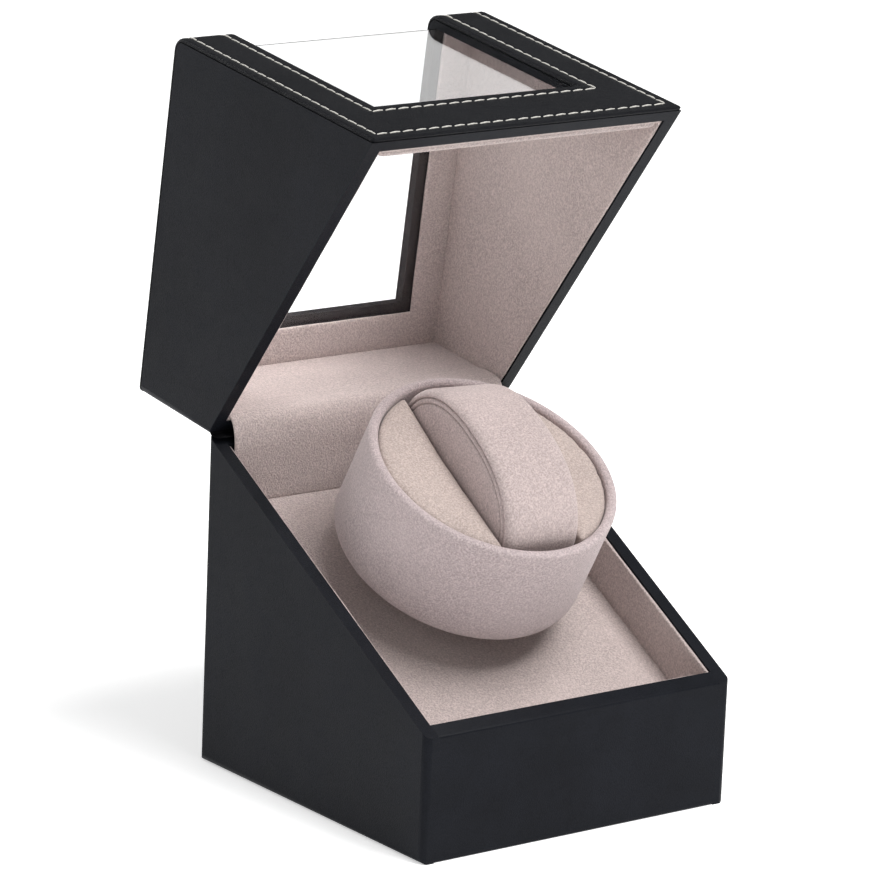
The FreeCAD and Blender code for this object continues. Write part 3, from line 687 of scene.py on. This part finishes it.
def trim_height(x, run):
    """Surface height of the strip: rounded edges, a dip along each stitched row, slight swells."""
    outer, hole = strip_edges(x, run)
    edge = max(0.0, min([distance for distance, _ in outer] + [hole[0]]))
    height = TRIM_T
    if edge < TRIM_ROUND:
        height -= TRIM_ROUND * (1 - math.sqrt(1 - (1 - edge / TRIM_ROUND) ** 2))
    for row in (outer_row(x, run), inner_row(x, run)):
        height -= ROW_DIP * math.exp(-((row / ROW_WIDE) ** 2))
    swell = noise.noise(Vector((x, run, 0.0)) * 70)
    return height - TRIM_SWELL * (1 + swell) * min(1.0, edge / TRIM_ROUND)


def neck_shift(x, run):
    """How far a point on the strip's edge moves in to make the groove beneath it."""
    outer, hole = strip_edges(x, run)
    ways = [way for distance, way in outer + [hole] if abs(distance) < 1e-7]
    return sum(way[0] for way in ways) * UNDERCUT, sum(way[1] for way in ways) * UNDERCUT


def above_rim(spot, lift):
    """Point of the strip, its lowest edge raised with depth to clear the base's sloping rim."""
    x, run = spot
    near = max(0.0, 1 - (run - TRIM_LOW) / RISE)
    return wrapped(x, run + SLOPE * (TRIM_T - lift) * near, lift)


def build_trim():
    """Padded leather strip round the window, bent over the lid's corner, grooved along its foot."""
    left = graded(-HALF_W, -WIN_HALF, TRIM_GRID)
    xs = left + even(-WIN_HALF, WIN_HALF, 60) + [-v for v in left][::-1]
    low = graded(TRIM_LOW, WIN_LOW, TRIM_GRID)
    high = graded(HOLE_END, TRIM_END, TRIM_GRID)
    runs = low + even(WIN_LOW, HOLE_END, 120) + high
    spots, index = [], {}
    for j, run in enumerate(runs):
        for i, x in enumerate(xs):
            in_hole = abs(x) < WIN_HALF - 1e-7 and WIN_LOW + 1e-7 < run < HOLE_END - 1e-7
            if not in_hole:
                index[i, j] = len(spots)
                spots.append((x, run))
    quads, edges = [], {}
    for j in range(len(runs) - 1):
        for i in range(len(xs) - 1):
            middle_x = (xs[i] + xs[i + 1]) / 2
            middle_run = (runs[j] + runs[j + 1]) / 2
            if abs(middle_x) < WIN_HALF and WIN_LOW < middle_run < HOLE_END:
                continue
            quad = [index[key] for key in ((i, j), (i + 1, j), (i + 1, j + 1), (i, j + 1))]
            quads.append(quad)
            edges.update({pair: True for pair in zip(quad, quad[1:] + quad[:1])})
    rim = [pair for pair in edges if pair[::-1] not in edges]
    on_rim = sorted({a for pair in rim for a in pair})
    plan = [rounded_plan(x, run) for x, run in spots]
    verts = [above_rim(plan[k], trim_height(*spots[k])) for k in range(len(spots))]
    foot = list(plan)
    for k in on_rim:
        shift = neck_shift(*spots[k])
        foot[k] = plan[k][0] + shift[0], plan[k][1] + shift[1]
    verts += [above_rim(spot, 0.0) for spot in foot]
    neck = {k: len(verts) + number for number, k in enumerate(on_rim)}
    verts += [above_rim(foot[k], NECK_LIFT) for k in on_rim]
    count = len(spots)
    faces = [tuple(quad) for quad in quads]
    faces += [tuple(k + count for k in reversed(quad)) for quad in quads]
    for a, b in rim:
        faces.append((b, a, neck[a], neck[b]))
        faces.append((neck[b], neck[a], a + count, b + count))
    trim = outward(new_object("window_trim_leather", verts, faces, "trim_leather", LID_SPACE))
    trim.data.set_sharp_from_angle(angle=math.radians(75))
    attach(trim, "lid")
    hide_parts("window_trim")
    return trim


def add_stitch(verts, faces, start, along, across, begin, reach, wander, thick):
    """One twisted stitch: arched, slanted, its ends sunk into the strip."""
    rings, sides = 18, 8
    first = len(verts)
    for r in range(rings):
        t = r / (rings - 1)
        distance = begin + reach * t
        offset = SLANT * (2 * t - 1) + wander
        x = start[0] + along[0] * distance + across[0] * offset
        run = start[1] + along[1] * distance + across[1] * offset
        swell = max(0.0, math.sin(math.pi * t)) ** 0.35
        lift = TRIM_T - 0.62 * MM + 0.42 * MM * swell
        for s in range(sides):
            angle = 2 * math.pi * s / sides
            ply = 1 + 0.13 * math.cos(2 * angle - 5 * math.pi * t * reach / (4.5 * MM))
            radius = thick * (0.5 + 0.5 * swell) * ply
            side = radius * math.cos(angle)
            up = radius * math.sin(angle)
            verts.append(wrapped(x + across[0] * side, run + across[1] * side, lift + up))
    faces += [tuple(first + f for f in face) for face in loop_faces(rings, sides)]
    faces.append(tuple(first + s for s in range(sides)))
    faces.append(tuple(first + (rings - 1) * sides + s for s in range(sides)))


def stitch_row(name, half, low, high, seed):
    """Row of separate thread stitches round a rectangle on the trim."""
    dice = random.Random(seed)
    verts, faces = [], []
    corners = [(-half, low), (half, low), (half, high), (-half, high)]
    for (x0, r0), (x1, r1) in zip(corners, corners[1:] + corners[:1]):
        length = math.hypot(x1 - x0, r1 - r0)
        size = length / round(length / PITCH)
        along = ((x1 - x0) / length, (r1 - r0) / length)
        across = (-along[1], along[0])
        for k in range(round(length / size)):
            begin = (k + 0.045) * size
            wander = dice.uniform(-0.05, 0.05) * MM
            thick = THREAD_R * dice.uniform(0.94, 1.06)
            add_stitch(verts, faces, (x0, r0), along, across, begin, 0.91 * size, wander, thick)
    obj = outward(new_object(name, verts, faces, "thread", LID_SPACE))
    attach(obj, "lid")
    return obj


build_trim()
stitch_row("stitches_outer", HALF_W - OUT_SIDE, TRIM_LOW + OUT_LOW, TRIM_END - OUT_END, 3)
stitch_row("stitches_inner", WIN_HALF + IN_ROW, WIN_LOW - IN_ROW, HOLE_END + IN_ROW, 5)


# ---------------------------------------------------------------- drum

CUP_R = 43.1 * MM
CUP_BACK = 11.0 * MM
CUP_RIM = 52.7 * MM
CUP_ROUND = 7.0 * MM
LIP_R = 1.7 * MM
MOUTH_R = CUP_R - 2 * LIP_R
SLOT_HALF = 15.15 * MM
CUSHION_LOW = 14.6 * MM
CUSHION_TOP = 51.6 * MM
CUSHION_ROOM = 0.1 * MM
CUSHION_VOXEL = 1.3 * MM
CUSHION_CAP = 0.9 * MM
PINNED_FOOT = 6 * MM


def arc(cx, cz, radius, start, end, steps):
    """Points of an arc in a (radius, height) plane, angles in degrees."""
    points = []
    for k in range(steps + 1):
        angle = math.radians(start + (end - start) * k / steps)
        points.append((cx + radius * math.cos(angle), cz + radius * math.sin(angle)))
    return points


def straight(a, b, steps):
    parts = [k / steps for k in range(1, steps)]
    return [(a[0] + (b[0] - a[0]) * t, a[1] + (b[1] - a[1]) * t) for t in parts]


def build_cup_cover():
    """Velvet skin of the cup, from its back, up the wall and over the rolled lip."""
    inside_end = CUP_RIM - 10.5 * MM
    hub_clear = 15.5 * MM
    profile = [(hub_clear, CUP_BACK)]
    profile += straight((hub_clear, CUP_BACK), (CUP_R - CUP_ROUND, CUP_BACK), 8)
    profile += arc(CUP_R - CUP_ROUND, CUP_BACK + CUP_ROUND, CUP_ROUND, -90, 0, 10)
    profile += straight((CUP_R, CUP_BACK + CUP_ROUND), (CUP_R, CUP_RIM - LIP_R), 16)
    profile += arc(CUP_R - LIP_R, CUP_RIM - LIP_R, LIP_R, 0, 180, 12)
    profile += straight((MOUTH_R, CUP_RIM - LIP_R), (MOUTH_R, inside_end), 6)
    profile += [(MOUTH_R, inside_end)]
    count = 220
    verts = []
    for radius, height in profile:
        for k in range(count):
            angle = 2 * math.pi * k / count
            spot = Vector((math.cos(angle), math.sin(angle), height * 20))
            soft = 0.14 * noise.noise(spot * 1.6) + 0.07 * noise.noise(spot * 6)
            reach = radius - max(0.0, 0.06 + soft) * MM if radius > MOUTH_R - CUP_ROUND else radius
            verts.append((reach * math.cos(angle), reach * math.sin(angle), height))
    faces = loop_faces(len(profile), count)
    cover = new_object("drum_cover_velvet", verts, faces, "cup_velvet", DRUM_SPACE)
    thick = cover.modifiers.new("thick", "SOLIDIFY")
    thick.thickness = 0.6 * MM
    thick.offset = -1
    settle(outward(cover))
    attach(cover, "drum")
    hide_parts("drum_cover")
    return cover


def build_cushion(name, side):
    """Half-moon cushion beside the pillow: a foam block in velvet, puffed by simulation."""
    radius = MOUTH_R - 0.3 * MM
    near_side = SLOT_HALF + 0.25 * MM
    span = math.acos(near_side / radius)
    outline = []
    for k in range(33):
        angle = -span + 2 * span * k / 32
        outline.append((side * radius * math.cos(angle), radius * math.sin(angle)))
    verts = [(x, y, z) for z in (CUSHION_LOW, CUSHION_TOP) for x, y in outline]
    count = len(outline)
    faces = loop_faces(2, count) + [tuple(range(count)), tuple(range(count, 2 * count))]
    cushion = outward(new_object(name, verts, faces, "cushion_velvet"))
    remesh(cushion, CUSHION_VOXEL)
    relax(cushion, 2)
    pinned = [v.index for v in cushion.data.vertices if v.co.z < CUSHION_LOW + PINNED_FOOT]
    puff(cushion, CUSHION_CAP, pinned)
    for vertex in cushion.data.vertices:
        spot = vertex.co
        spot.x = side * max(side * spot.x, SLOT_HALF)
        spot.z = min(spot.z, CUP_RIM - 0.7 * MM)
        away = math.hypot(spot.x, spot.y)
        if away > MOUTH_R - CUSHION_ROOM:
            spot.x *= (MOUTH_R - CUSHION_ROOM) / away
            spot.y *= (MOUTH_R - CUSHION_ROOM) / away
    smooth_up(cushion)
    cushion.data.transform(PILLOW_SPACE)
    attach(cushion, "drum")
    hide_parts("drum_cushion_" + ("right" if side > 0 else "left"))
    return cushion


build_cup_cover()
build_cushion("cushion_left_velvet", -1)
build_cushion("cushion_right_velvet", 1)


# ---------------------------------------------------------------- pillow

PILLOW_HALF = 14.35 * MM
PILLOW_LONG = 33.9 * MM
PILLOW_BASE = 45.5 * MM
PILLOW_RISE = 21.7 * MM
PILLOW_LOW = 14.8 * MM
PILLOW_BULGE = 2.5 * MM
SHOULDER = 3.6 * MM
PILLOW_CAP = 0.8 * MM


def pillow_outline(count):
    """Seam line of the end panel as evenly spaced (along, height) points with outward normals."""
    dense = []
    for k in range(241):
        along = math.cos(math.pi * k / 240)
        height = PILLOW_RISE * (1 - abs(along) ** 2.4) ** 0.5
        dense.append(Vector((PILLOW_LONG * along, PILLOW_BASE + height)))
    tuck = PILLOW_LONG - 4 * MM
    knee = PILLOW_LOW + 12 * MM
    corners = [
        (-PILLOW_LONG, PILLOW_BASE), (-PILLOW_LONG, knee), (-tuck, PILLOW_LOW),
        (tuck, PILLOW_LOW), (PILLOW_LONG, knee), (PILLOW_LONG, PILLOW_BASE),
    ]
    for a, b in zip(corners, corners[1:]):
        dense += [Vector(a).lerp(Vector(b), k / 40) for k in range(1, 41)]
    lengths = [0.0]
    for a, b in zip(dense, dense[1:]):
        lengths.append(lengths[-1] + (b - a).length)
    points = []
    seek = 0
    for k in range(count):
        target = lengths[-1] * k / count
        while lengths[seek + 1] < target:
            seek += 1
        part = (target - lengths[seek]) / max(1e-9, lengths[seek + 1] - lengths[seek])
        points.append(dense[seek].lerp(dense[seek + 1], part))
    for _ in range(3):
        points = [
            (points[k - 1] + points[k] * 2 + points[(k + 1) % count]) / 4 for k in range(count)
        ]
    normals = []
    for k in range(count):
        run = points[(k + 1) % count] - points[k - 1]
        normals.append(Vector((run.y, -run.x)).normalized())
    return points, normals


def build_pillow():
    """Watch pillow: a band round the foam and an end panel each side, double seams between."""
    count = 160
    points, normals = pillow_outline(count)
    centre = Vector((0.0, (PILLOW_BASE + PILLOW_LOW) / 2 + 8 * MM))
    half = PILLOW_HALF
    band = []
    for k in range(5):
        band.append(((half - SHOULDER) * k / 5, -PILLOW_BULGE))
    for k in range(9):
        angle = math.radians(90 * k / 8)
        across = half - SHOULDER * (1 - math.sin(angle))
        band.append((across, -PILLOW_BULGE * math.cos(angle)))
    panel = [
        (half - 0.3 * MM, 0.1 * MM), (half - 1.3 * MM, 0.35 * MM), (half - 0.3 * MM, 0.6 * MM),
        (half + 0.05 * MM, 1.0 * MM), (half + 0.1 * MM, 1.7 * MM), (half - 0.1 * MM, 2.05 * MM),
        (half - 0.9 * MM, 2.25 * MM), (half - 0.1 * MM, 2.45 * MM), (half + 0.15 * MM, 2.9 * MM),
        (half + 0.35 * MM, 4.0 * MM),
    ]
    rings = [(x, inset, 0.0) for x, inset in band + panel]
    rings += [(half + 0.4 * MM, 4.0 * MM, k / 9) for k in range(1, 9)]
    mirrored = [(-x, inset, shrink) for x, inset, shrink in rings[:0:-1]]
    rings = mirrored + rings
    verts = []
    for x, inset, shrink in rings:
        for spot, normal in zip(points, normals):
            p = (spot - normal * inset).lerp(centre, shrink)
            verts.append((x, p.x, p.y))
    faces = loop_faces(len(rings), count)
    faces.append(tuple(range(count)))
    faces.append(tuple(range((len(rings) - 1) * count, len(rings) * count)))
    pillow = outward(new_object("pillow_velvet", verts, faces, "pillow_velvet"))
    pinned = []
    for r, (x, inset, shrink) in enumerate(rings):
        if shrink == 0.0 and abs(x) > half - 0.6 * MM and inset < 3 * MM:
            pinned += [r * count + k for k in range(count)]
    puff(pillow, PILLOW_CAP, pinned)
    # The end panels take the lighter velvet: painted light that lifts their shade.
    pillow.data.materials.append(MATERIALS["panel_velvet"])
    for face in pillow.data.polygons:
        if all(abs(pillow.data.vertices[v].co.x) > half - 0.5 * MM for v in face.vertices):
            face.material_index = 1
    smooth_up(pillow)
    pillow.data.transform(PILLOW_SPACE)
    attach(pillow, "pillow")
    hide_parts("pillow_core", "pillow_band", "pillow_end_left", "pillow_end_right")
    return pillow


build_pillow()


# ---------------------------------------------------------------- cloth over the hinge


def hinge_sheet(name, path, half, columns, thickness, material):
    """Sheet that crosses the hinge; path holds (y, z) in millimetres from the hinge line."""
    verts = []
    for y, z in path:
        for c in range(columns + 1):
            x = half * (2 * c / columns - 1)
            wave = thickness * 0.3 * noise.noise(Vector((x * 60, y, z)))
            verts.append((x, HINGE.y + y * MM + wave, HINGE.z + z * MM + wave * 0.4))
    sheet = new_object(name, verts, loop_faces(len(path), columns + 1, False), material)
    thick = sheet.modifiers.new("thick", "SOLIDIFY")
    thick.thickness = thickness
    thick.offset = 0
    smooth_up(settle(sheet))
    return sheet


def build_hinge_strip():
    """Velvet that lines the base's back wall and runs on over the hinge into the lid."""
    path = [(-6.3, z) for z in (-23.4, -21.5, -18.0, -15.0, -12.0, -9.0, -6.0)]
    path += [
        (-6.3, -3.5), (-6.2, -1.2), (-5.8, 1.2), (-5.1, 3.4), (-4.0, 5.1), (-2.6, 6.2),
        (-0.9, 6.75), (1.2, 6.9), (3.5, 7.1), (5.6, 7.3), (7.4, 7.5),
    ]
    strip = hinge_sheet("hinge_strip_velvet", path, 56.2 * MM, 75, 0.8 * MM, "velvet")
    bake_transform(strip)
    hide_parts("hinge_lining", "base_back_lining")


def build_hinge_tape():
    """Black cloth tape folded into the hinge line, closing it from side to side."""
    path = [
        (-5.2, -0.25), (-3.0, -0.25), (-1.6, -0.2), (-0.8, -0.1), (-0.3, 0.15),
        (-0.1, 0.7), (-0.12, 1.6), (-0.2, 3.0), (-0.33, 5.2),
    ]
    tape = hinge_sheet("hinge_tape", path, HALF_W - 0.6 * MM, 60, 0.3 * MM, "hinge_cloth")
    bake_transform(tape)


build_hinge_strip()
build_hinge_tape()


# ---------------------------------------------------------------- camera, floor, light

FIT = 125.0 / 120.0
CAMERA_AZ = math.radians(-37.5)
CAMERA_EL = math.radians(14.47)
CAMERA_ROLL = math.radians(2.33)
CAMERA_FAR = 1.60719 * FIT
CAMERA_AIM = Vector((-0.01557, 0.0, 0.1162)) * FIT
LENS_PIXELS = 5144.73
IMAGE_PIXELS = 870
SENSOR = 36.0
LIGHT_AIM = Vector((0, 0, 0.12))
SKY_LIGHT = 0.28
FLOOR_GLOW = 0.45
FLOOR_HALF = 3.0


def build_camera():
    back = Vector((
        math.sin(CAMERA_AZ) * math.cos(CAMERA_EL),
        -math.cos(CAMERA_AZ) * math.cos(CAMERA_EL),
        math.sin(CAMERA_EL),
    ))
    right = (-back).cross(Vector((0, 0, 1))).normalized()
    up = right.cross(-back)
    c, s = math.cos(CAMERA_ROLL), math.sin(CAMERA_ROLL)
    tilted_right = right * c + up * s
    tilted_up = up * c - right * s
    data = bpy.data.cameras.new("camera")
    data.sensor_width = SENSOR
    data.lens = LENS_PIXELS / IMAGE_PIXELS * SENSOR
    camera = bpy.data.objects.new("camera", data)
    turn = Matrix((tilted_right, tilted_up, back)).transposed()
    camera.matrix_world = Matrix.Translation(CAMERA_AIM + back * CAMERA_FAR) @ turn.to_4x4()
    bpy.context.scene.collection.objects.link(camera)
    bpy.context.scene.camera = camera


def area_light(name, place, size, power):
    """Soft light aimed at the middle of the box."""
    data = bpy.data.lights.new(name, "AREA")
    data.shape = "RECTANGLE"
    data.size, data.size_y = size
    data.energy = power
    light = bpy.data.objects.new(name, data)
    facing = (LIGHT_AIM - Vector(place)).to_track_quat("-Z", "Y")
    light.matrix_world = Matrix.Translation(place) @ facing.to_matrix().to_4x4()
    light.visible_camera = False
    light.visible_transmission = False
    bpy.context.scene.collection.objects.link(light)
    return light


def build_world():
    """White where it is seen directly or through glass, softer as a source of light."""
    world = bpy.data.worlds.new("studio")
    world.use_nodes = True
    tree = world.node_tree
    path = tree.nodes.new("ShaderNodeLightPath")
    direct = tree.nodes.new("ShaderNodeMath")
    direct.operation = "MAXIMUM"
    tree.links.new(path.outputs["Is Camera Ray"], direct.inputs[0])
    tree.links.new(path.outputs["Is Transmission Ray"], direct.inputs[1])
    level = tree.nodes.new("ShaderNodeMapRange")
    level.inputs["To Min"].default_value = SKY_LIGHT
    level.inputs["To Max"].default_value = 1.0
    tree.links.new(direct.outputs[0], level.inputs["Value"])
    tree.links.new(level.outputs["Result"], tree.nodes["Background"].inputs["Strength"])
    tree.nodes["Background"].inputs["Color"].default_value = (1.0, 1.0, 1.0, 1.0)
    bpy.context.scene.world = world


def build_studio():
    build_world()
    turns = ((-1, -1), (1, -1), (1, 1), (-1, 1))
    verts = [(x * FLOOR_HALF, y * FLOOR_HALF, 0) for x, y in turns]
    floor = new_object("studio_floor", verts, [(0, 1, 2, 3)], "thread")
    n = Nodes("studio_floor")
    n.set(
        Base_Color=n.mix(n.noise(3.0, 3.0, 0.5), (0.93, 0.93, 0.93), (0.96, 0.96, 0.96)),
        Roughness=0.9,
        Emission_Color=(1.0, 1.0, 1.0, 1.0),
        Emission_Strength=FLOOR_GLOW,
    )
    floor.data.materials[0] = n.material
    area_light("key", (0.45, -0.87, 1.98), (1.1, 1.1), 51)
    area_light("fill", (-1.7, -0.7, 1.0), (1.3, 1.1), 5)
    area_light("back", (-0.5, 2.0, 1.0), (1.3, 1.3), 16)
    glow = area_light("window_glow", (1.18, 1.41, 1.05), (1.3, 1.3), 5)
    pane = bpy.data.collections.new("pane_only")
    pane.objects.link(NODES["lid_window"])
    glow.light_linking.receiver_collection = pane
    NODES["lid_window"].visible_shadow = False
    view = bpy.context.scene.view_settings
    view.view_transform = "Standard"
    view.look = "None"


build_camera()
build_studio()

bpy.context.view_layer.update()
